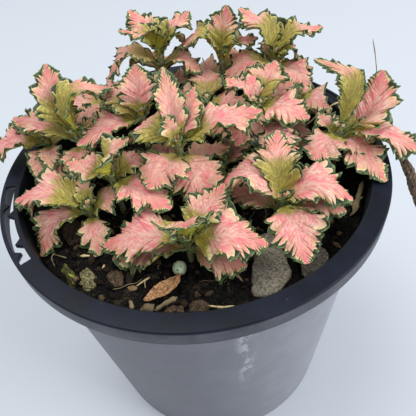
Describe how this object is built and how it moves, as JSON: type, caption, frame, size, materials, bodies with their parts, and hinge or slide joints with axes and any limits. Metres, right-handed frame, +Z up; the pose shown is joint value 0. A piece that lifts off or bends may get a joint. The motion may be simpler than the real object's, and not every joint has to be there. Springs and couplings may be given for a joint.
{
  "type": "potted nerve plant",
  "caption": "Small-leaved foliage plant with pink, green-edged toothed leaves on short stems, in a round nursery pot of dark mix.",
  "frame": {"origin": "centre of the pot's flat base, on the surface it stands on", "axes": "+Z up along the pot's axis, -Y towards the front, +X to the viewer's right"},
  "size_m": [0.1656, 0.14, 0.1629],
  "materials": {
    "pot_plastic": "moulded, semi-gloss",
    "potting_mix": "loose, damp",
    "leaf": "matte, finely veined",
    "bark": "rough, weathered",
    "prill": "smooth coated",
    "dead_stem": "dry, fibrous"
  },
  "bodies": {
    "root": {"pot": "pot_plastic", "potting_mix": "potting_mix", "shoot_01": "leaf", "shoot_02": "leaf", "shoot_03": "leaf", "shoot_04": "leaf", "shoot_05": "leaf", "shoot_06": "leaf", "shoot_07": "leaf", "shoot_08": "leaf", "shoot_09": "leaf", "shoot_10": "leaf", "shoot_11": "leaf", "shoot_12": "leaf", "shoot_13": "leaf", "shoot_14": "leaf", "shoot_15": "leaf", "shoot_16": "leaf", "shoot_17": "leaf", "bark_chip_1": "bark", "bark_chip_2": "bark", "bark_chip_3": "bark", "bark_chip_4": "bark", "bark_chip_5": "bark", "bark_chip_6": "bark", "bark_chip_7": "bark", "bark_chip_8": "bark", "bark_shard": "bark", "prill": "prill", "dead_stem": "dead_stem"}
  },
  "joints": []
}
